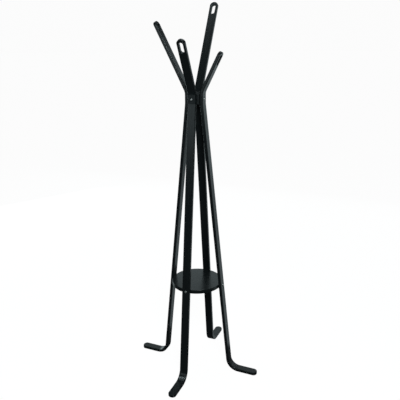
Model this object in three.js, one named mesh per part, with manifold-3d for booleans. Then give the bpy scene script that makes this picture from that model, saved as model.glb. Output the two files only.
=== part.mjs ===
// Standing coat rack: four strips of bent plywood stand around a wooden neck core. Below the core each
// strip is a leg that leans out to a flat foot; above it the strip flares out as an arm with a hanging
// slot. The four arms end at four heights. A round shelf is bolted between the legs near the floor.
// Millimetres, +Z up, origin on the floor on the rack's axis. Leg and arm of one strip share one node.
import * as THREE from "three";
import { mergeVertices } from "three/addons/utils/BufferGeometryUtils.js";
import Module from "manifold-3d";

const wasm = await Module();
wasm.setup();

// ---- Driving dimensions ----

// Clearances
const gap = 0.3; // between pieces that rest on each other or fit in each other
const overcut = 5; // how far a cutter runs past the material

// The strip that each leg is pressed from
const stripWidth = 38;
const stripThickness = 15;
const edgeRound = 2.4; // along both long edges
const noseMargin = 1; // nose radius past half the strip's width

// Line of a leg at the strip's mid-thickness: distances from the axis, heights from the floor
const footReach = 323; // tip of the foot
const legSpread = 178; // corner where the foot turns up into the leg
const footBend = 55; // bend radius
const neckFoot = 1337; // corner below the neck
const neckRise = 52; // from there to the corner above the neck
const neckBend = 52; // bend radius of both neck corners
const armFlare = THREE.MathUtils.degToRad(27.25); // from the vertical
const arms = { front: 247, right: 191, back: 436, left: 336 }; // from the upper corner to the tip

// Hanging slot in each arm
const slotWidth = 18.5;
const slotLength = 46;
const slotFromTip = 13;

// Wooden core that the four necks are bolted to
const coreMargin = 9.5; // past each long edge of a strip
const coreOverrun = 3.7; // past each end of the necks' flat
const coreCorner = 3;

// Round shelf
const shelfTop = 470;
const shelfThickness = 18;
const shelfRound = 3.5; // along both rims
const seatDepth = 0.8; // of the flat milled in the rim for each leg
const seatMargin = 0.5; // of that flat past the strip's edges

// Button-head bolts
const boltDiameter = 6;
const boltChamfer = 0.8;
const headOverhang = 2.25; // past the shank
const headHeight = 3.3;
const headRim = 0.8; // straight side below the dome
const socketWidth = 4; // hexagon, across the flats
const socketDepth = 2;
const neckReachIn = 15; // how far a bolt goes past the strip into the core
const shelfReachIn = 20; // and into the shelf
const pilotExtra = 1; // pilot hole past the bolt's end

// Threaded inserts in the core
const insertWall = 1.75;
const insertLength = 12;
const insertRecess = 1; // below the core's face

// Barrel nuts in the shelf
const nutWall = 2;
const nutLength = 12;
const nutSetback = 13; // its centre behind the seat
const nutSlotWidth = 1.2;
const nutSlotDepth = 1.5;

// Felt strip under each foot
const padWidth = 26;
const padThickness = 2;
const padInset = 8; // from both ends of the foot's flat
const padCorner = 6;

// Facets
const arcSteps = 5; // half the chords of each bend
const roundSteps = 2; // chords of an edge round
const domeSteps = 3;
const boltFacets = 16;
const shelfFacets = 64;

// ---- Fits worked out from them ----

const halfStrip = stripThickness / 2;
const noseRadius = stripWidth / 2 + noseMargin;
const coreSide = stripWidth + 2 * coreMargin;
const footHeight = padThickness + gap + halfStrip;
const neckReach = coreSide / 2 + gap + halfStrip;
const neckTop = neckFoot + neckRise;
const lean = Math.atan2(legSpread - neckReach, neckFoot - footHeight);
const neckFlatBottom = neckFoot + neckBend * Math.tan(lean / 2);
const neckFlatTop = neckTop - neckBend * Math.tan(armFlare / 2);
const neckBoltHeight = (neckFlatBottom + neckFlatTop) / 2;
const coreHeight = neckFlatTop - neckFlatBottom + 2 * coreOverrun;
const footFlatStart = legSpread + footBend * Math.tan((Math.PI / 2 - lean) / 2);

const shelfMiddle = shelfTop - shelfThickness / 2;
// Distance from the axis, at one height, of a plane that lies behind the leg's middle plane.
const legPlaneAt = (height, behind) =>
  legSpread - (behind + (height - footHeight) * Math.sin(lean)) / Math.cos(lean);
const seatDistance = legPlaneAt(shelfMiddle, halfStrip + gap);
const nutDistance = legPlaneAt(shelfMiddle, halfStrip + gap + nutSetback);
const shelfRadius = seatDistance + seatDepth;

const boltHole = boltDiameter + 2 * gap;
const insertDiameter = boltDiameter + 2 * (gap + insertWall);
const nutDiameter = boltDiameter + 2 * (gap + nutWall);

// ---- Materials ----

const lacquer = new THREE.MeshStandardMaterial({ color: 0x171b1d, roughness: 0.42, metalness: 0 });
const coreLacquer = new THREE.MeshStandardMaterial({ color: 0x131618, roughness: 0.6, metalness: 0 });
const zincSteel = new THREE.MeshStandardMaterial({ color: 0xa9abae, roughness: 0.32, metalness: 1 });
const brass = new THREE.MeshStandardMaterial({ color: 0xb08d4e, roughness: 0.4, metalness: 1 });
const felt = new THREE.MeshStandardMaterial({ color: 0x2b2c2e, roughness: 0.95, metalness: 0 });

// ---- Solids ----

// A closed geometry as a solid that can be joined and cut.
function toSolid(geometry) {
  const bare = geometry.clone();
  bare.deleteAttribute("normal");
  bare.deleteAttribute("uv");
  const merged = mergeVertices(bare);
  const mesh = new wasm.Mesh({
    numProp: 3,
    vertProperties: merged.attributes.position.array,
    triVerts: new Uint32Array(merged.index.array),
  });
  return new wasm.Manifold(mesh);
}

// A solid as a geometry with a normal for each flat facet.
function toGeometry(solid) {
  const { vertProperties, triVerts } = solid.getMesh();
  const geometry = new THREE.BufferGeometry();
  geometry.setAttribute("position", new THREE.BufferAttribute(vertProperties, 3));
  geometry.setIndex(new THREE.BufferAttribute(triVerts, 1));
  const flat = geometry.toNonIndexed();
  flat.computeVertexNormals();
  return flat;
}

const cut = (geometry, cutters) =>
  toGeometry(cutters.reduce((rest, cutter) => rest.subtract(toSolid(cutter)), toSolid(geometry)));

function named(name, geometry, material) {
  const mesh = new THREE.Mesh(geometry, material);
  mesh.name = name;
  return mesh;
}

// A cylinder along Z from one height to another.
function rod(diameter, from, to, facets = boltFacets) {
  const geometry = new THREE.CylinderGeometry(diameter / 2, diameter / 2, to - from, facets);
  return geometry.rotateX(Math.PI / 2).translate(0, 0, (from + to) / 2);
}

// A profile of [radius, height] pairs turned about Z.
function turned(profile, facets = boltFacets) {
  const points = profile.map(([radius, height]) => new THREE.Vector2(radius, height));
  return new THREE.LatheGeometry(points, facets).rotateX(Math.PI / 2);
}

// Points of a quarter round about a centre, from straight out to straight up.
function quarterRound(radius, height, across, up, steps) {
  return Array.from({ length: steps + 1 }, (_, i) => {
    const angle = (i / steps) * (Math.PI / 2);
    return [radius + across * Math.cos(angle), height + up * Math.sin(angle)];
  });
}

// ---- Frames: Z points out of the outer face of a strip, X up along it, in a quarter whose leg is at +X ----

// Frame of a bolt through the strip; its origin lies on the strip's outer face.
function boltFrame(distance, height, tilt) {
  const out = new THREE.Vector3(Math.cos(tilt), 0, Math.sin(tilt));
  const along = new THREE.Vector3(-Math.sin(tilt), 0, Math.cos(tilt));
  const across = new THREE.Vector3().crossVectors(out, along);
  return new THREE.Matrix4().makeBasis(along, across, out).setPosition(distance, 0, height);
}

const neckFrame = boltFrame(neckReach + halfStrip, neckBoltHeight, 0);
const shelfBoltLever = nutSetback + gap + stripThickness; // from the nut's centre to the outer face
const shelfFrame = boltFrame(
  nutDistance + shelfBoltLever * Math.cos(lean),
  shelfMiddle + shelfBoltLever * Math.sin(lean),
  lean,
);

// Frame at the end of a strip: X points off the tip, Y across the strip, Z through it.
function tipFrame(x, z, angle) {
  const off = new THREE.Vector3(Math.cos(angle), 0, Math.sin(angle));
  const across = new THREE.Vector3(0, 1, 0);
  const through = new THREE.Vector3().crossVectors(off, across);
  return new THREE.Matrix4().makeBasis(off, across, through).setPosition(x, 0, z);
}

// ---- Bent strip ----

// Corners of the strip's middle line, each with the radius that rounds it, from foot tip to arm tip.
function legLine(armLength) {
  const tipX = neckReach + armLength * Math.sin(armFlare);
  const tipZ = neckTop + armLength * Math.cos(armFlare);
  return [
    { x: footReach, z: footHeight, radius: 0 },
    { x: legSpread, z: footHeight, radius: footBend },
    { x: neckReach, z: neckFoot, radius: neckBend },
    { x: neckReach, z: neckTop, radius: neckBend },
    { x: tipX, z: tipZ, radius: 0 },
  ];
}

// The arc that rounds each inner corner. All of them turn to the right.
function bendsOf(line) {
  return line.slice(1, -1).map((corner, i) => {
    const before = Math.atan2(corner.z - line[i].z, corner.x - line[i].x);
    const after = Math.atan2(line[i + 2].z - corner.z, line[i + 2].x - corner.x);
    const turn = (before - after + 2 * Math.PI) % (2 * Math.PI);
    const back = corner.radius * Math.tan(turn / 2);
    return {
      x: corner.x - back * Math.cos(before) + corner.radius * Math.sin(before),
      z: corner.z - back * Math.sin(before) - corner.radius * Math.cos(before),
      radius: corner.radius,
      from: before + Math.PI / 2,
      to: before + Math.PI / 2 - turn,
    };
  });
}

// Side outline of the strip: its inner face from foot to arm, then its outer face back.
function stripOutline(line) {
  const bends = bendsOf(line);
  const [foot, heel] = line;
  const shoulder = line[line.length - 2];
  const tip = line[line.length - 1];
  const endOf = (end, inward, side) => {
    const angle = Math.atan2(inward.z - end.z, inward.x - end.x) + (side * Math.PI) / 2;
    return [end.x + halfStrip * Math.cos(angle), end.z + halfStrip * Math.sin(angle)];
  };
  const outline = new THREE.Shape();
  outline.moveTo(...endOf(foot, heel, -1));
  outline.lineTo(...endOf(foot, heel, 1));
  for (const bend of bends) {
    outline.absarc(bend.x, bend.z, bend.radius + halfStrip, bend.from, bend.to, true);
  }
  outline.lineTo(...endOf(tip, shoulder, -1));
  outline.lineTo(...endOf(tip, shoulder, 1));
  for (const bend of bends.reverse()) {
    outline.absarc(bend.x, bend.z, bend.radius - halfStrip, bend.to, bend.from, false);
  }
  outline.closePath();
  return outline;
}

// A flat shape pushed through the strip's thickness at a tip.
function throughStrip(shape, frame) {
  const depth = stripThickness + 2 * overcut;
  const cutter = new THREE.ExtrudeGeometry(shape, { depth, bevelEnabled: false, curveSegments: 2 * arcSteps });
  return cutter.translate(0, 0, -depth / 2).applyMatrix4(frame);
}

// What is cut off a strip's end to leave a round nose.
function noseWaste(frame) {
  const outside = noseRadius + overcut;
  const waste = new THREE.Shape();
  waste.moveTo(-noseRadius, -noseRadius);
  waste.absarc(-noseRadius, 0, noseRadius, -Math.PI / 2, Math.PI / 2, false);
  waste.lineTo(-noseRadius, outside);
  waste.lineTo(overcut, outside);
  waste.lineTo(overcut, -outside);
  waste.lineTo(-noseRadius, -outside);
  waste.closePath();
  return throughStrip(waste, frame);
}

function hangingSlot(frame) {
  const radius = slotWidth / 2;
  const near = -slotFromTip - radius;
  const far = -slotFromTip - slotLength + radius;
  const slot = new THREE.Shape();
  slot.absarc(near, 0, radius, -Math.PI / 2, Math.PI / 2, false);
  slot.absarc(far, 0, radius, Math.PI / 2, (3 * Math.PI) / 2, false);
  slot.closePath();
  return throughStrip(slot, frame);
}

function legGeometry(armLength) {
  const line = legLine(armLength);
  const tip = line[line.length - 1];
  const strip = new THREE.ExtrudeGeometry(stripOutline(line), {
    depth: stripWidth - 2 * edgeRound,
    bevelThickness: edgeRound,
    bevelSize: edgeRound,
    bevelOffset: -edgeRound,
    bevelSegments: roundSteps,
    curveSegments: arcSteps,
  });
  strip.rotateX(Math.PI / 2).translate(0, stripWidth / 2 - edgeRound, 0);
  const footTip = tipFrame(footReach, footHeight, 0);
  const armTip = tipFrame(tip.x, tip.z, Math.PI / 2 - armFlare);
  const drill = () => rod(boltHole, -stripThickness - overcut, overcut);
  return cut(strip, [
    noseWaste(footTip),
    noseWaste(armTip),
    hangingSlot(armTip),
    drill().applyMatrix4(neckFrame),
    drill().applyMatrix4(shelfFrame),
  ]);
}

// ---- Neck core and shelf, each cut alike on its four sides ----

const quarterTurns = [0, 1, 2, 3].map((quarter) => (quarter * Math.PI) / 2);

const seatLevel = -stripThickness - gap; // in a bolt's frame: the face that the strip is bolted to

function coreGeometry() {
  const half = coreSide / 2;
  const edge = half - coreCorner;
  const square = new THREE.Shape();
  square.absarc(edge, edge, coreCorner, 0, Math.PI / 2, false);
  square.absarc(-edge, edge, coreCorner, Math.PI / 2, Math.PI, false);
  square.absarc(-edge, -edge, coreCorner, Math.PI, (3 * Math.PI) / 2, false);
  square.absarc(edge, -edge, coreCorner, (3 * Math.PI) / 2, 2 * Math.PI, false);
  square.closePath();
  const block = new THREE.ExtrudeGeometry(square, {
    depth: coreHeight,
    bevelEnabled: false,
    curveSegments: roundSteps,
  });
  block.translate(0, 0, neckBoltHeight - coreHeight / 2);
  const insertBottom = seatLevel - insertRecess - insertLength - gap;
  const cutters = quarterTurns.flatMap((turn) => [
    rod(insertDiameter + 2 * gap, insertBottom, seatLevel + overcut).applyMatrix4(neckFrame).rotateZ(turn),
    rod(boltHole, seatLevel - neckReachIn - pilotExtra, insertBottom + overcut)
      .applyMatrix4(neckFrame)
      .rotateZ(turn),
  ]);
  return cut(block, cutters);
}

function shelfGeometry() {
  const bottom = shelfTop - shelfThickness;
  const inner = shelfRadius - shelfRound;
  const lower = quarterRound(inner, bottom + shelfRound, shelfRound, -shelfRound, 2 * roundSteps);
  const upper = quarterRound(inner, shelfTop - shelfRound, shelfRound, shelfRound, 2 * roundSteps);
  const disc = turned([[0, bottom], ...lower.reverse(), ...upper, [0, shelfTop]], shelfFacets);
  const nutTop = shelfMiddle + nutLength / 2 + gap;
  const seatWidth = stripWidth + 2 * seatMargin;
  const cutters = quarterTurns.flatMap((turn) => [
    new THREE.BoxGeometry(2 * shelfThickness, seatWidth, 2 * overcut)
      .translate(0, 0, seatLevel + overcut)
      .applyMatrix4(shelfFrame)
      .rotateZ(turn),
    rod(boltHole, seatLevel - shelfReachIn - pilotExtra, seatLevel + overcut)
      .applyMatrix4(shelfFrame)
      .rotateZ(turn),
    rod(nutDiameter + 2 * gap, bottom - overcut, nutTop).translate(nutDistance, 0, 0).rotateZ(turn),
  ]);
  return cut(disc, cutters);
}

// ---- Fasteners ----

// A bolt along Z with its head's underside at 0.
function boltGeometry(reachIn) {
  const length = gap + stripThickness + gap + reachIn;
  const shank = boltDiameter / 2;
  const flat = shank; // radius of the flat on top of the dome
  const dome = quarterRound(flat, headRim, shank + headOverhang - flat, headHeight - headRim, domeSteps);
  const body = turned([
    [0, -length],
    [shank - boltChamfer, -length],
    [shank, -length + boltChamfer],
    [shank, 0],
    [shank + headOverhang, 0],
    ...dome,
    [0, headHeight],
  ]);
  const acrossCorners = socketWidth / Math.cos(Math.PI / 6);
  return cut(body, [rod(acrossCorners, headHeight - socketDepth, headHeight + overcut, 6)]);
}

// A threaded sleeve along Z, its outer end at 0.
function insertGeometry() {
  const bore = boltHole / 2;
  const outer = insertDiameter / 2;
  return turned([
    [bore, -insertLength],
    [outer, -insertLength],
    [outer, 0],
    [bore, 0],
    [bore, -insertLength],
  ]);
}

// A barrel nut along Z about its centre: a tapped cross bore, and a screwdriver slot in its lower end.
function nutGeometry() {
  const crossBore = rod(boltHole, -nutDiameter, nutDiameter).rotateY(Math.PI / 2 - lean);
  const slot = new THREE.BoxGeometry(2 * nutDiameter, nutSlotWidth, 2 * nutSlotDepth);
  slot.translate(0, 0, -nutLength / 2);
  return cut(rod(nutDiameter, -nutLength / 2, nutLength / 2), [crossBore, slot]);
}

function padGeometry() {
  const halfLength = (footReach - footFlatStart) / 2 - padInset;
  const halfWidth = padWidth / 2;
  const x = halfLength - padCorner;
  const y = halfWidth - padCorner;
  const outline = new THREE.Shape();
  outline.absarc(x, y, padCorner, 0, Math.PI / 2, false);
  outline.absarc(-x, y, padCorner, Math.PI / 2, Math.PI, false);
  outline.absarc(-x, -y, padCorner, Math.PI, (3 * Math.PI) / 2, false);
  outline.absarc(x, -y, padCorner, (3 * Math.PI) / 2, 2 * Math.PI, false);
  outline.closePath();
  return new THREE.ExtrudeGeometry(outline, { depth: padThickness, bevelEnabled: false, curveSegments: 2 });
}

// ---- Assembly ----

const rack = new THREE.Group();
rack.add(named("shelf", shelfGeometry(), lacquer));
rack.add(named("neck_core", coreGeometry(), coreLacquer));

const neckBolt = boltGeometry(neckReachIn);
const shelfBolt = boltGeometry(shelfReachIn);
const insert = insertGeometry();
const barrelNut = nutGeometry();
const pad = padGeometry();

Object.entries(arms).forEach(([side, armLength], i) => {
  const quarter = new THREE.Group();
  quarter.rotation.z = ((i - 1) * Math.PI) / 2; // front is -Y, then right, back and left
  rack.add(quarter);
  quarter.add(named(`leg_${side}`, legGeometry(armLength), lacquer));

  const neckJoint = new THREE.Group();
  neckJoint.applyMatrix4(neckFrame);
  const screwed = named(`neck_bolt_${side}`, neckBolt, zincSteel);
  screwed.position.z = gap;
  const sleeve = named(`core_insert_${side}`, insert, brass);
  sleeve.position.z = seatLevel - insertRecess;
  neckJoint.add(screwed, sleeve);

  const shelfJoint = new THREE.Group();
  shelfJoint.applyMatrix4(shelfFrame);
  const holding = named(`shelf_bolt_${side}`, shelfBolt, zincSteel);
  holding.position.z = gap;
  shelfJoint.add(holding);

  const nut = named(`barrel_nut_${side}`, barrelNut, zincSteel);
  nut.position.set(nutDistance, 0, shelfMiddle);
  const glide = named(`foot_pad_${side}`, pad, felt);
  glide.position.set((footFlatStart + footReach) / 2, 0, 0);
  quarter.add(neckJoint, shelfJoint, nut, glide);
});

export default rack;
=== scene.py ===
# Standing coat rack in satin black lacquered bent plywood: four strips bolted round a neck block, a round
# shelf between the legs, zinc bolts and barrel nuts, brass inserts and felt under the feet.
import bmesh
import bpy
import math
from mathutils import Matrix, Vector


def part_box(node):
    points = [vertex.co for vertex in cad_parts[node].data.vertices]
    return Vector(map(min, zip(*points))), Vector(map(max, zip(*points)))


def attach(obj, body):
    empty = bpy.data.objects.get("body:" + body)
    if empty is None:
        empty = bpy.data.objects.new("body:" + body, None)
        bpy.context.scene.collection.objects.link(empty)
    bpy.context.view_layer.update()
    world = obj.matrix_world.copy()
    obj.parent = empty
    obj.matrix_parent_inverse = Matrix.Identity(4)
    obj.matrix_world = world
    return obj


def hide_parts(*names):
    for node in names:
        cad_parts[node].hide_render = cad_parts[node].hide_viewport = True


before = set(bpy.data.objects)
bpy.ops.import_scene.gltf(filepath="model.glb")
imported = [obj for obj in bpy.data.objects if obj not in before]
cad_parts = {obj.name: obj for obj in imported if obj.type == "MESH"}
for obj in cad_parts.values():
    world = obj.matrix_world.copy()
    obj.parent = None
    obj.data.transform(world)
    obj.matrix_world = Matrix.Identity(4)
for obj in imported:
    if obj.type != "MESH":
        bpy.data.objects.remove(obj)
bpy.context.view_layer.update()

sides = ["front", "right", "back", "left"]
mm = 0.001
past = 10 * mm  # how far a cutter goes past what it cuts


# shared small tools

def turnOf(side):
    # a strip is made standing out along +X, then turned into its quarter
    return Matrix.Rotation(math.radians(90 * (sides.index(side) - 1)), 4, "Z")


def centreOf(node):
    low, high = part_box(node)
    return (low + high) / 2


def deselectAll():
    bpy.ops.object.select_all(action="DESELECT")


def makeActive(piece):
    deselectAll()
    piece.select_set(True)
    bpy.context.view_layer.objects.active = piece


def applyPlace(piece):
    makeActive(piece)
    bpy.ops.object.transform_apply(location=True, rotation=True, scale=True)


def addBlock(name, low, high):
    # a cube primitive at its size and place, with both put into the mesh
    low, high = Vector(low), Vector(high)
    deselectAll()
    bpy.ops.mesh.primitive_cube_add(size=1, location=(low + high) / 2, scale=high - low)
    block = bpy.context.object
    block.name = name
    applyPlace(block)
    return block


def addRod(name, radius, start, end, sections):
    # a cylinder primitive between two points
    start, end = Vector(start), Vector(end)
    deselectAll()
    bpy.ops.mesh.primitive_cylinder_add(vertices=sections, radius=radius, depth=(end - start).length)
    rod = bpy.context.object
    rod.name = name
    turned = (end - start).to_track_quat("Z", "Y").to_matrix().to_4x4()
    rod.matrix_world = Matrix.Translation((start + end) / 2) @ turned
    applyPlace(rod)
    return rod


def pick(piece, kind, wanted):
    # edit mode with only the faces, edges or verts that the test wants
    if piece.mode != "EDIT":
        makeActive(piece)
        bpy.ops.object.mode_set(mode="EDIT")
    bpy.ops.mesh.select_mode(type=kind)
    bpy.ops.mesh.select_all(action="DESELECT")
    shape = bmesh.from_edit_mesh(piece.data)
    found = {"FACE": shape.faces, "EDGE": shape.edges, "VERT": shape.verts}[kind]
    for part in found:
        if wanted(part):
            part.select_set(True)
    shape.select_flush_mode()
    bmesh.update_edit_mesh(piece.data)


def leaveEdit():
    bpy.ops.object.mode_set(mode="OBJECT")


def middleOf(part):
    return sum((v.co for v in part.verts), Vector()) / len(part.verts)


def carve(piece, cutters, operation="DIFFERENCE"):
    # boolean modifiers, applied one after another, and the cutters thrown away
    for cutter in cutters:
        makeActive(piece)
        cutting = piece.modifiers.new("carve", "BOOLEAN")
        cutting.operation = operation
        cutting.solver = "EXACT"
        cutting.object = cutter
        bpy.ops.object.modifier_apply(modifier=cutting.name)
        bpy.data.objects.remove(cutter)


def roundEdges(piece, width, segments, sharperThan):
    makeActive(piece)
    rounding = piece.modifiers.new("round", "BEVEL")
    rounding.width = width
    rounding.segments = segments
    rounding.limit_method = "ANGLE"
    rounding.angle_limit = math.radians(sharperThan)
    bpy.ops.object.modifier_apply(modifier=rounding.name)


def smooth(piece, angle=35):
    # smooth shading whose flat faces stay flat
    makeActive(piece)
    bpy.ops.object.shade_smooth_by_angle(angle=math.radians(angle))
    weighting = piece.modifiers.new("flatFaces", "WEIGHTED_NORMAL")
    weighting.keep_sharp = True
    bpy.ops.object.modifier_apply(modifier=weighting.name)


def copyOf(piece, name, place=Matrix.Identity(4)):
    makeActive(piece)
    bpy.ops.object.duplicate(linked=False)
    twin = bpy.context.object
    twin.name = name
    twin.matrix_world = place
    applyPlace(twin)
    return twin


def handIn(piece, material, slot, *nodes):
    # finish a piece: its finish, the body it rides on and what it stands for
    piece.data.materials.clear()
    piece.data.materials.append(material)
    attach(piece, "root")
    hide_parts(*nodes)


# finishes

def linear(hexColour):
    # sRGB hex to the linear colour that the shaders work in
    channels = [int(hexColour[i:i + 2], 16) / 255 for i in (1, 3, 5)]
    return [c / 12.92 if c <= 0.04045 else ((c + 0.055) / 1.055) ** 2.4 for c in channels] + [1]


def addNode(tree, kind, settings=None, values=None, links=None):
    node = tree.nodes.new(kind)
    for key, value in (settings or {}).items():
        setattr(node, key, value)
    for key, value in (values or {}).items():
        node.inputs[key].default_value = value
    for key, source in (links or {}).items():
        tree.links.new(source, node.inputs[key])
    return node


def newMaterial(name):
    material = bpy.data.materials.new(name)
    material.use_nodes = True
    tree = material.node_tree
    tree.nodes.clear()
    shader = addNode(tree, "ShaderNodeBsdfPrincipled")
    addNode(tree, "ShaderNodeOutputMaterial", links={"Surface": shader.outputs["BSDF"]})
    return material, tree, shader


def addRamp(tree, source, stops):
    ramp = addNode(tree, "ShaderNodeValToRGB", links={"Fac": source})
    for i, (place, colour) in enumerate(stops):
        stop = ramp.color_ramp.elements[i] if i < 2 else ramp.color_ramp.elements.new(place)
        stop.position = place
        stop.color = colour
    return ramp.outputs["Color"]


lacquerValues = {
    "black": "#0f1314",  # the lacquer's own colour
    "worn": "#171b1d",  # where it lies thin over the grain
    "roughness": 0.27,
    "roughnessDrift": (-0.04, 0.05),  # from the thick to the thin lacquer
    "grainWidth": 1.6,  # mm across the grain, drawn coarser than beech's 0.5 so that it shows
    "grainLength": 90,  # mm along it
    "grainDepth": 0.03,  # mm
    "veneer": 1.5,  # mm, one ply
    "plyDepth": 0.03,  # mm, of the line between two plies
    "peel": 2.5,  # mm, ripple of the sprayed film
    "peelDepth": 0.008,  # mm
}


def satinLacquer(name, placeAttribute=None, roughness=None):
    # sprayed satin lacquer on plywood: a soft cool sheen, faint grain on the faces and ply lines on the edges
    values = lacquerValues
    material, tree, shader = newMaterial(name)
    if placeAttribute:
        place = addNode(tree, "ShaderNodeAttribute", {"attribute_name": placeAttribute}).outputs["Vector"]
    else:
        place = addNode(tree, "ShaderNodeTexCoord").outputs["Object"]
    along, depth = (0, 1) if placeAttribute else (0, 2)
    stretch = [1 / (values["grainWidth"] * mm)] * 3
    stretch[along] = 1 / (values["grainLength"] * mm)
    grainPlace = addNode(tree, "ShaderNodeVectorMath", {"operation": "MULTIPLY"}, {1: stretch}, {0: place})
    grain = addNode(tree, "ShaderNodeTexNoise", None, {"Scale": 1, "Detail": 4, "Roughness": 0.6},
                    {"Vector": grainPlace.outputs[0]}).outputs["Fac"]
    split = addNode(tree, "ShaderNodeSeparateXYZ", links={"Vector": place})
    plies = addNode(tree, "ShaderNodeMath", {"operation": "MULTIPLY"}, {1: 1 / (values["veneer"] * mm)},
                    {0: split.outputs[depth]})
    saw = addNode(tree, "ShaderNodeMath", {"operation": "PINGPONG"}, {1: 0.5}, {0: plies.outputs[0]})
    plyLine = addRamp(tree, saw.outputs[0], [(0, (0, 0, 0, 1)), (0.22, (1, 1, 1, 1))])
    film = addNode(tree, "ShaderNodeTexNoise", None, {"Scale": 1 / (values["peel"] * mm), "Detail": 2},
                   {"Vector": place}).outputs["Fac"]
    colour = addRamp(tree, grain, [(0.35, linear(values["black"])), (0.75, linear(values["worn"]))])
    least, most = [(roughness or values["roughness"]) + drift for drift in values["roughnessDrift"]]
    sheen = addNode(tree, "ShaderNodeMapRange", None,
                    {"From Min": 0.3, "From Max": 0.7, "To Min": least, "To Max": most}, {"Value": grain})
    bumps = None
    for height, depthName in ((grain, "grainDepth"), (plyLine, "plyDepth"), (film, "peelDepth")):
        links = {"Height": height}
        if bumps:
            links["Normal"] = bumps.outputs["Normal"]
        relief = {"Strength": 1, "Distance": values[depthName] * mm}
        bumps = addNode(tree, "ShaderNodeBump", None, relief, links)
    tree.links.new(colour, shader.inputs["Base Color"])
    tree.links.new(sheen.outputs["Result"], shader.inputs["Roughness"])
    tree.links.new(bumps.outputs["Normal"], shader.inputs["Normal"])
    return material


metalValues = {
    "patches": 900,  # to a metre, so 1.1 mm apart
    "patchColour": "#a5a9ae",
    "roughnessDrift": 0.14,
    "markDepth": 0.01,  # mm
}


def platedSteel(name, colour="#f0ebe4", roughness=0.4):
    # zinc plate on steel: a pale silvery metal, blurred by tumbling, that picks up light from all round
    values = metalValues
    material, tree, shader = newMaterial(name)
    place = addNode(tree, "ShaderNodeTexCoord").outputs["Object"]
    patches = addNode(tree, "ShaderNodeTexNoise", None, {"Scale": values["patches"], "Detail": 3},
                      {"Vector": place}).outputs["Fac"]
    tone = addRamp(tree, patches, [(0.3, linear(colour)), (0.8, linear(values["patchColour"]))])
    rough = addNode(tree, "ShaderNodeMapRange", None,
                    {"To Min": roughness, "To Max": roughness + values["roughnessDrift"]}, {"Value": patches})
    marks = addNode(tree, "ShaderNodeBump", None, {"Strength": 0.5, "Distance": values["markDepth"] * mm},
                    {"Height": patches})
    shader.inputs["Metallic"].default_value = 1
    tree.links.new(tone, shader.inputs["Base Color"])
    tree.links.new(rough.outputs["Result"], shader.inputs["Roughness"])
    tree.links.new(marks.outputs["Normal"], shader.inputs["Normal"])
    return material


def turnedBrass(name):
    # machined brass: a warm yellow metal, a little dulled
    return platedSteel(name, "#c9a75c", 0.3)


woolValues = {
    "fibres": 1400,  # to a metre: tufts 0.7 mm apart, far coarser than the fibres, so that they show
    "dark": "#191a1c",
    "light": "#3b3c3f",
    "fluff": 0.25,  # mm
    "roughness": 0.95,
    "sheen": 0.4,
    "sheenRoughness": 0.5,
}


def pressedFelt(name):
    # pressed wool felt: a matt dark grey mat of crossed fibres that catches light at its edge
    values = woolValues
    material, tree, shader = newMaterial(name)
    place = addNode(tree, "ShaderNodeTexCoord").outputs["Object"]
    fibres = addNode(tree, "ShaderNodeTexNoise", None,
                     {"Scale": values["fibres"], "Detail": 5, "Distortion": 2.5},
                     {"Vector": place}).outputs["Fac"]
    tone = addRamp(tree, fibres, [(0.3, linear(values["dark"])), (0.75, linear(values["light"]))])
    fluff = addNode(tree, "ShaderNodeBump", None, {"Strength": 1, "Distance": values["fluff"] * mm},
                    {"Height": fibres})
    shader.inputs["Roughness"].default_value = values["roughness"]
    shader.inputs["Sheen Weight"].default_value = values["sheen"]
    shader.inputs["Sheen Roughness"].default_value = values["sheenRoughness"]
    tree.links.new(tone, shader.inputs["Base Color"])
    tree.links.new(fluff.outputs["Normal"], shader.inputs["Normal"])
    return material


# the line that every strip is pressed to

print("bend line")

lineValues = {
    "thickness": 15,
    "legSpread": 178,  # corner where the foot turns up, from the axis
    "footBend": 55,
    "neckFoot": 1337,  # corner below the neck
    "neckTop": 1389,  # corner above it
    "neckBend": 52,
    "flare": 27.25,  # degrees from the vertical
    "bendStep": 4,  # degrees between the sections of a bend
}


def bendLine():
    # straight runs and arcs of the strip's middle line in the (out, up) plane, and how far along each arc is
    values = lineValues
    half = values["thickness"] * mm / 2
    legLow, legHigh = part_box("leg_right")
    flare = math.radians(values["flare"])
    tips = {}
    for side in sides:
        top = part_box(f"leg_{side}")[1].z
        tips[side] = (top - half * math.sin(flare) - values["neckTop"] * mm) / math.cos(flare)
    longest = max(tips.values())
    neckOut = legLow.x + half
    corners = [
        (Vector((legHigh.x, legLow.z + half)), 0),
        (Vector((values["legSpread"] * mm, legLow.z + half)), values["footBend"] * mm),
        (Vector((neckOut, values["neckFoot"] * mm)), values["neckBend"] * mm),
        (Vector((neckOut, values["neckTop"] * mm)), values["neckBend"] * mm),
        (Vector((neckOut + longest * math.sin(flare), values["neckTop"] * mm + longest * math.cos(flare))), 0),
    ]
    points, bends, length = [corners[0][0]], [], 0
    for (before, _), (corner, radius), (after, _) in zip(corners, corners[1:], corners[2:]):
        inward, outward = (corner - before).normalized(), (after - corner).normalized()
        turn = inward.angle(outward)
        start = corner - inward * radius * math.tan(turn / 2)
        centre = start + Vector((inward.y, -inward.x)) * radius
        length += (start - points[-1]).length
        bends.append({"from": length, "to": length + radius * turn, "turn": turn, "end": None,
                      "along": outward})
        count = max(3, math.ceil(math.degrees(turn)))
        arm = start - centre
        for i in range(count + 1):
            angle = -turn * i / count
            points.append(centre + Vector((arm.x * math.cos(angle) - arm.y * math.sin(angle),
                                           arm.x * math.sin(angle) + arm.y * math.cos(angle))))
        length += radius * turn
        bends[-1]["end"] = points[-1]
    points.append(corners[-1][0])
    length += (points[-1] - points[-2]).length
    return {"points": points, "bends": bends, "length": length, "tips": tips, "half": half}


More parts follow.
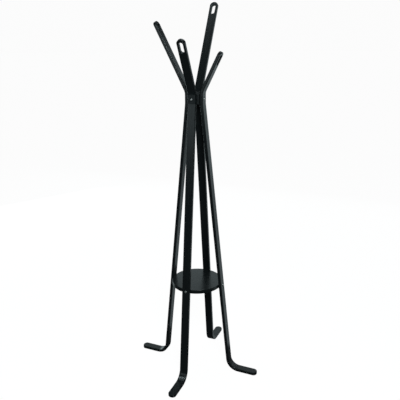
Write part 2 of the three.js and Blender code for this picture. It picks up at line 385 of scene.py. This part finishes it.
line = bendLine()
footBendEnd, neckBendEnd = line["bends"][0], line["bends"][1]
lean = math.atan2(-footBendEnd["along"].x, footBendEnd["along"].y)
nutCentre = centreOf("barrel_nut_right")
neckBoltHeight = centreOf("neck_core").z


def lengthAt(bend, out, up):
    # how far along the strip a point beside the straight run after a bend lies
    return bend["to"] + (Vector((out, up)) - bend["end"]).dot(bend["along"])


# strips: each is cut flat, rounded, drilled, then bent over the line

print("strips")

stripValues = {
    "noseMargin": 1,  # nose radius past half the width
    "edgeRound": 2.4,
    "slotWidth": 18.5,
    "slotLength": 46,
    "slotFromTip": 13,
    "boltHole": 6.6,
}


def addStadium(name, start, end, width, depth):
    # a block with two round ends, standing across the flat strip
    block = addBlock(name, (start, -depth / 2, -width / 2), (end, depth / 2, width / 2))
    pick(block, "EDGE", lambda e: abs(e.verts[0].co.y - e.verts[1].co.y) > depth / 2)
    bpy.ops.mesh.bevel(offset=width / 2, segments=16, affect="EDGES", clamp_overlap=True)
    bpy.ops.mesh.select_all(action="SELECT")
    bpy.ops.mesh.remove_doubles(threshold=0.02 * mm)
    leaveEdit()
    return block


def flatStrip(length):
    # along X from the foot's tip to the arm's, thickness in Y, width in Z
    values = stripValues
    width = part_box("leg_right")[1].y * 2
    half = line["half"]
    strip = addBlock("strip", (0, -half, -width / 2), (length, half, width / 2))
    deep = 6 * half
    noses = addStadium("noses", 0, length, width + 2 * values["noseMargin"] * mm, deep)
    carve(strip, [noses], "INTERSECT")
    slotEnd = length - values["slotFromTip"] * mm
    slotStart = slotEnd - values["slotLength"] * mm
    carve(strip, [addStadium("slot", slotStart, slotEnd, values["slotWidth"] * mm, deep)])
    roundEdges(strip, values["edgeRound"] * mm, 4, 50)
    holes = [lengthAt(footBendEnd, nutCentre.x, nutCentre.z), lengthAt(neckBendEnd, 0, neckBoltHeight)]
    radius = values["boltHole"] * mm / 2
    carve(strip, [addRod("drill", radius, (at, -deep, 0), (at, deep, 0), 32) for at in holes])
    return strip


def bendStrip(strip):
    # sections where it bends, its flat place kept for the grain, then the curve modifier
    makeActive(strip)
    bpy.ops.object.mode_set(mode="EDIT")
    for bend in line["bends"]:
        count = max(3, math.ceil(math.degrees(bend["turn"]) / lineValues["bendStep"]))
        for i in range(count + 1):
            at = bend["from"] + (bend["to"] - bend["from"]) * i / count
            bpy.ops.mesh.select_all(action="SELECT")
            bpy.ops.mesh.bisect(plane_co=(at, 0, 0), plane_no=(1, 0, 0))
    leaveEdit()
    place = strip.data.attributes.new("stripPlace", "FLOAT_VECTOR", "POINT")
    place.data.foreach_set("vector", [c for v in strip.data.vertices for c in v.co])
    deselectAll()
    form = bpy.data.curves.new("bendForm", "CURVE")
    form.dimensions = "2D"
    path = form.splines.new("POLY")
    path.points.add(len(line["points"]) - 1)
    for knot, point in zip(path.points, line["points"]):
        knot.co = (point.x, point.y, 0, 1)
    former = bpy.data.objects.new("bendForm", form)
    bpy.context.collection.objects.link(former)
    makeActive(strip)
    bending = strip.modifiers.new("bend", "CURVE")
    bending.object = former
    bending.deform_axis = "POS_X"
    bpy.ops.object.modifier_apply(modifier=bending.name)
    bpy.data.objects.remove(former)


legLacquer = satinLacquer("satinLacquerOnBentPly", "stripPlace")
shortest = min(line["tips"].values())
armStart = line["bends"][-1]["to"]
baseLength = line["length"] - max(line["tips"].values()) + shortest
blank = flatStrip(baseLength)
upright = Matrix.Rotation(math.pi / 2, 4, "X")  # the bend line's plane stands up
for side in sides:
    strip = copyOf(blank, f"strip_{side}")
    pick(strip, "VERT", lambda v: v.co.x > armStart)
    bpy.ops.transform.translate(value=(line["tips"][side] - shortest, 0, 0))
    leaveEdit()
    bendStrip(strip)
    strip.matrix_world = turnOf(side) @ upright
    applyPlace(strip)
    smooth(strip)
    handIn(strip, legLacquer, "leg_lacquer", f"leg_{side}")
bpy.data.objects.remove(blank)


# round shelf

print("shelf")

shelfValues = {
    "edgeRound": 1,
    "seatDepth": 0.8,
    "seatMargin": 0.5,
    "gap": 0.3,
    "boltReach": 21,  # of its hole, in from the seat
    "nutHole": 11.2,
}


def outOfNut(distance, side="right"):
    # a point on a leg's shelf bolt, so far out of the barrel nut's centre
    out = Vector((nutCentre.x + distance * math.cos(lean), 0, nutCentre.z + distance * math.sin(lean)))
    return turnOf(side) @ out


legAcross = Vector((footBendEnd["along"].y, -footBendEnd["along"].x))
nutToStrip = (footBendEnd["end"] - Vector((nutCentre.x, nutCentre.z))).dot(legAcross)
nutToSeat = nutToStrip - line["half"] - shelfValues["gap"] * mm


def makeShelf():
    values = shelfValues
    low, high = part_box("shelf")
    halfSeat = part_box("leg_right")[1].y + values["seatMargin"] * mm
    radius = nutCentre.x + nutToSeat / math.cos(lean) + values["seatDepth"] * mm
    shelf = addRod("shelf_disc", radius, (0, 0, low.z), (0, 0, high.z), 192)
    roundEdges(shelf, values["edgeRound"] * mm, 6, 50)
    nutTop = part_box("barrel_nut_right")[1].z + values["gap"] * mm
    for side in sides:
        mill = addBlock("mill", (0, -halfSeat, -2 * past), (past, halfSeat, 2 * past))
        seatPlace = turnOf(side) @ Matrix.Translation(outOfNut(nutToSeat))
        mill.matrix_world = seatPlace @ Matrix.Rotation(-lean, 4, "Y")
        applyPlace(mill)
        inner = outOfNut(nutToSeat - values["boltReach"] * mm, side)
        outer = outOfNut(nutToSeat + past, side)
        boltDrill = addRod("drill", stripValues["boltHole"] * mm / 2, inner, outer, 32)
        nut = turnOf(side) @ nutCentre
        below, above = (nut.x, nut.y, low.z - past), (nut.x, nut.y, nutTop)
        nutDrill = addRod("drill", values["nutHole"] * mm / 2, below, above, 48)
        carve(shelf, [mill, boltDrill, nutDrill])
    smooth(shelf)
    handIn(shelf, satinLacquer("satinLacquerOnPly"), "shelf_lacquer", "shelf")


makeShelf()


# neck block

print("neck block")

coreValues = {"cornerRound": 3, "edgeRound": 1, "insertHole": 10.7, "insertDepth": 13.3, "boltReach": 16}


def makeCore():
    values = coreValues
    low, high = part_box("neck_core")
    core = addBlock("neck_block", low, high)
    pick(core, "EDGE", lambda e: abs(e.verts[0].co.z - e.verts[1].co.z) > 0.01)
    bpy.ops.mesh.bevel(offset=values["cornerRound"] * mm, segments=5, affect="EDGES")
    leaveEdit()
    roundEdges(core, values["edgeRound"] * mm, 3, 50)
    holes = ((values["insertHole"], values["insertDepth"]), (stripValues["boltHole"], values["boltReach"]))
    cutters = []
    for side in sides:
        for size, depth in holes:
            start = turnOf(side) @ Vector((high.x - depth * mm, 0, neckBoltHeight))
            end = turnOf(side) @ Vector((high.x + past, 0, neckBoltHeight))
            cutters.append(addRod("drill", size * mm / 2, start, end, 40))
    carve(core, cutters)
    smooth(core)
    handIn(core, satinLacquer("stainedBeech", None, 0.62), "core_lacquer", "neck_core")


makeCore()


# bolts

print("bolts")

boltValues = {
    "head": 10.5,
    "headHeight": 3.3,
    "dome": 2.4,
    "shank": 6,
    "neckLength": 30.6,
    "shelfLength": 35.6,
    "socket": 4,  # across the flats
    "socketDepth": 2,
    "tipBevel": 0.8,
    "edgeRound": 0.15,
}


def makeBolt(name, length):
    # along Z with the head's underside at zero
    values = boltValues
    bolt = addRod(name, values["head"] * mm / 2, (0, 0, 0), (0, 0, values["headHeight"] * mm), 48)
    top = values["headHeight"] * mm
    pick(bolt, "EDGE", lambda e: all(v.co.z > top / 2 for v in e.verts))
    bpy.ops.mesh.bevel(offset=values["dome"] * mm, segments=7, affect="EDGES")
    pick(bolt, "FACE", lambda f: f.normal.z < -0.9)
    bpy.ops.mesh.inset(thickness=(values["head"] - values["shank"]) / 2 * mm)
    tip = values["tipBevel"] * mm
    bpy.ops.mesh.extrude_region_move(TRANSFORM_OT_translate={"value": (0, 0, -length + tip)})
    bpy.ops.mesh.extrude_region_move(TRANSFORM_OT_translate={"value": (0, 0, -tip)})
    thin = 1 - 2 * values["tipBevel"] / values["shank"]
    bpy.ops.transform.resize(value=(thin, thin, 1), center_override=(0, 0, -length))
    leaveEdit()
    corner = values["socket"] * mm / 2 / math.cos(math.pi / 6)
    carve(bolt, [addRod("key", corner, (0, 0, top - values["socketDepth"] * mm), (0, 0, top + past), 6)])
    roundEdges(bolt, values["edgeRound"] * mm, 2, 45)
    smooth(bolt)
    return bolt


zinc = platedSteel("brightZincPlate")
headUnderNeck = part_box("neck_bolt_right")[1].x - boltValues["headHeight"] * mm
headUnderShelf = outOfNut(nutToStrip + line["half"] + shelfValues["gap"] * mm)
neckPlace = Matrix.Translation((headUnderNeck, 0, neckBoltHeight)) @ Matrix.Rotation(math.pi / 2, 4, "Y")
shelfPlace = Matrix.Translation(headUnderShelf) @ Matrix.Rotation(math.pi / 2 - lean, 4, "Y")
for kind, length, place in (("neck_bolt", boltValues["neckLength"], neckPlace),
                            ("shelf_bolt", boltValues["shelfLength"], shelfPlace)):
    master = makeBolt("master", length * mm)
    for side in sides:
        bolt = copyOf(master, f"{kind}_{side}_m6", turnOf(side) @ place)
        handIn(bolt, zinc, "zinc_bolt", f"{kind}_{side}")
    bpy.data.objects.remove(master)


# barrel nuts in the shelf

print("barrel nuts")

nutValues = {"edgeRound": 0.5, "slotWidth": 1.2, "slotDepth": 1.5, "bore": 6.6}


def makeNut():
    # upright, its centre at the origin, its bolt along the leaning line
    low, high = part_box("barrel_nut_right")
    radius, half = (high.y - low.y) / 2, (high.z - low.z) / 2
    nut = addRod("master", radius, (0, 0, -half), (0, 0, half), 48)
    roundEdges(nut, nutValues["edgeRound"] * mm, 3, 50)
    slot = nutValues["slotWidth"] * mm / 2
    slotTop = -half + nutValues["slotDepth"] * mm
    bore = Vector((math.cos(lean), 0, math.sin(lean))) * past
    carve(nut, [addBlock("slot", (-2 * past, -slot, -2 * past), (2 * past, slot, slotTop)),
                addRod("bore", nutValues["bore"] * mm / 2, -bore, bore, 32)])
    smooth(nut)
    return nut


nutMaster = makeNut()
dullZinc = platedSteel("dullZincPlate", "#9da1a6", 0.38)
for side in sides:
    nut = copyOf(nutMaster, f"barrel_nut_{side}_m6", turnOf(side) @ Matrix.Translation(nutCentre))
    handIn(nut, dullZinc, "zinc_nut", f"barrel_nut_{side}")
bpy.data.objects.remove(nutMaster)


# threaded inserts in the neck block

print("inserts")

insertValues = {"ribs": 20, "ribDepth": 0.35, "bore": 6.6, "collar": 1.6, "edgeRound": 0.12}


def makeInsert():
    # along Z, its outer end at the top: a smooth collar over a ribbed sleeve
    values = insertValues
    low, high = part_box("core_insert_right")
    length, radius = high.x - low.x, (high.y - low.y) / 2
    sleeve = addRod("master", radius, (0, 0, -length), (0, 0, 0), values["ribs"] * 2)
    makeActive(sleeve)
    bpy.ops.object.mode_set(mode="EDIT")
    bpy.ops.mesh.select_all(action="SELECT")
    bpy.ops.mesh.bisect(plane_co=(0, 0, -values["collar"] * mm), plane_no=(0, 0, 1))
    facet = math.pi / values["ribs"]

    def grooveFace(face):
        middle = middleOf(face)
        step = round(math.atan2(middle.y, middle.x) / facet - 0.5)
        return abs(face.normal.z) < 0.1 and middle.z < -values["collar"] * mm and step % 2 == 0

    pick(sleeve, "FACE", grooveFace)
    bpy.ops.mesh.extrude_faces_move(TRANSFORM_OT_shrink_fatten={"value": -values["ribDepth"] * mm})
    leaveEdit()
    carve(sleeve, [addRod("bore", values["bore"] * mm / 2, (0, 0, -length - past), (0, 0, past), 32)])
    roundEdges(sleeve, values["edgeRound"] * mm, 1, 60)
    smooth(sleeve)
    return sleeve


insertMaster = makeInsert()
brass = turnedBrass("turnedBrass")
insertEnd = (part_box("core_insert_right")[1].x, 0, neckBoltHeight)
insertPlace = Matrix.Translation(insertEnd) @ Matrix.Rotation(math.pi / 2, 4, "Y")
for side in sides:
    insert = copyOf(insertMaster, f"core_insert_{side}_m6", turnOf(side) @ insertPlace)
    handIn(insert, brass, "brass_insert", f"core_insert_{side}")
bpy.data.objects.remove(insertMaster)


# felt strips under the feet

print("felt")

feltValues = {"cornerRound": 6, "edgeRound": 0.5}


def makeFelt():
    low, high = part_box("foot_pad_right")
    strip = addBlock("master", low, high)
    pick(strip, "EDGE", lambda e: abs(e.verts[0].co.z - e.verts[1].co.z) > 0.001)
    bpy.ops.mesh.bevel(offset=feltValues["cornerRound"] * mm, segments=6, affect="EDGES")
    leaveEdit()
    roundEdges(strip, feltValues["edgeRound"] * mm, 3, 50)
    smooth(strip)
    return strip


feltMaster = makeFelt()
felt = pressedFelt("pressedWoolFelt")
for side in sides:
    strip = copyOf(feltMaster, f"felt_strip_{side}", turnOf(side))
    handIn(strip, felt, "felt", f"foot_pad_{side}")
bpy.data.objects.remove(feltMaster)


# studio

print("studio")

studioValues = {
    "floorSize": 900,
    "white": 0.97,  # paper and air to look at
    "floorShade": 0.08,  # what the paper adds to that where the lamps reach it
    "floorBounce": 0.14,
    "surround": "#24282a",
    "lamps": "#e2f4f7",  # cool daylight tubes
    "panels": {
        "backdrop": {"at": (-0.1, 3.4, 1.65), "aim": (-0.1, 0, 1.65), "size": (6.4, 2.5), "watts": 33},
        "sweep": {"at": (0.9, 2.9, 0.01), "aim": (0.9, 2.9, 1), "size": (6, 5.4), "watts": 43},
        "left": {"at": (-3, 1.6, 0.7), "aim": (0, 0, 0.7), "size": (2.4, 1.4), "watts": 22},
        "top": {"at": (-0.5, 0.2, 3.6), "aim": (-0.4, 0.1, 0), "size": (2.6, 1), "watts": 14},
        "wall": {"at": (-1.75, -3.1, 1.65), "aim": (0, 0, 1.6), "size": (3.6, 0.9), "watts": 11},
        # its reflection is the bright line across the front foot's bend, and nothing else is to catch it
        "bend": {"at": (-2.35, -2.9, 6), "aim": (0, -0.18, 0), "size": (1.4, 0.2), "watts": 46,
                 "only": "strip_front"},
        "key": {"at": (1.5, -2.6, 2.9), "aim": (0, 0, 1.1), "size": (1, 1), "watts": 68},
    },
}


def makeFloor():
    bpy.ops.mesh.primitive_plane_add(size=studioValues["floorSize"])
    floor = bpy.context.object
    floor.name = "floor"
    material = bpy.data.materials.new("paperSweep")
    material.use_nodes = True
    tree = material.node_tree
    tree.nodes.clear()
    # white paper to look at, but a dim one for what it throws back up
    ray = addNode(tree, "ShaderNodeLightPath").outputs["Is Camera Ray"]
    paper = addNode(tree, "ShaderNodeBsdfDiffuse", None, {"Color": [studioValues["floorShade"]] * 3 + [1]})
    glow = addNode(tree, "ShaderNodeEmission", None, {"Strength": studioValues["white"]})
    bright = addNode(tree, "ShaderNodeAddShader", links={0: paper.outputs[0], 1: glow.outputs[0]})
    dim = addNode(tree, "ShaderNodeBsdfDiffuse", None, {"Color": [studioValues["floorBounce"]] * 3 + [1]})
    seen = addNode(tree, "ShaderNodeMixShader", links={0: ray, 1: dim.outputs[0], 2: bright.outputs[0]})
    addNode(tree, "ShaderNodeOutputMaterial", links={"Surface": seen.outputs[0]})
    floor.data.materials.append(material)


def makeSurround():
    world = bpy.data.worlds.new("studioAir")
    bpy.context.scene.world = world
    world.use_nodes = True
    tree = world.node_tree
    tree.nodes.clear()
    ray = addNode(tree, "ShaderNodeLightPath").outputs["Is Camera Ray"]
    dark = addNode(tree, "ShaderNodeBackground", None, {"Color": linear(studioValues["surround"])})
    white = addNode(tree, "ShaderNodeBackground", None,
                    {"Color": (1, 1, 1, 1), "Strength": studioValues["white"]})
    seen = addNode(tree, "ShaderNodeMixShader", links={0: ray, 1: dark.outputs[0], 2: white.outputs[0]})
    addNode(tree, "ShaderNodeOutputWorld", links={"Surface": seen.outputs[0]})


def addPanel(name, at, aim, size, watts, only=None):
    # a soft box that lights the rack, or only one piece of it, and isn't seen itself
    light = bpy.data.lights.new(name, "AREA")
    light.shape = "RECTANGLE"
    light.size, light.size_y = size
    light.energy = watts
    light.color = linear(studioValues["lamps"])[:3]
    panel = bpy.data.objects.new(name, light)
    bpy.context.collection.objects.link(panel)
    panel.location = at
    panel.rotation_euler = (Vector(aim) - Vector(at)).to_track_quat("-Z", "Y").to_euler()
    panel.visible_camera = False
    if only:
        lit = bpy.data.collections.new(f"{name}Lights")
        lit.objects.link(bpy.data.objects[only])
        panel.light_linking.receiver_collection = lit


makeFloor()
makeSurround()
for name, panel in studioValues["panels"].items():
    addPanel(f"{name}Panel", **panel)


# camera

print("camera")

cameraValues = {
    "distance": 2.2235,  # from the rack's axis
    "height": 1.5655,
    "around": 23.53,  # degrees round the rack from the front
    "aside": 0.45,  # degrees that it looks past the axis
    "down": 17.05,
    "roll": -0.4,
    "lens": 43.96,
}


def makeCamera():
    values = cameraValues
    around = math.radians(values["around"])
    camera = bpy.data.objects.new("camera", bpy.data.cameras.new("camera"))
    bpy.context.collection.objects.link(camera)
    right, back = values["distance"] * math.sin(around), values["distance"] * math.cos(around)
    camera.location = (right, -back, values["height"])
    heading = math.radians(values["around"] - values["aside"])
    camera.rotation_euler = (math.radians(90 - values["down"]), 0, heading)
    camera.rotation_euler.rotate_axis("Z", math.radians(values["roll"]))
    camera.data.lens = values["lens"]
    camera.data.clip_end = 1000
    bpy.context.scene.camera = camera


makeCamera()
bpy.context.scene.view_settings.view_transform = "Standard"
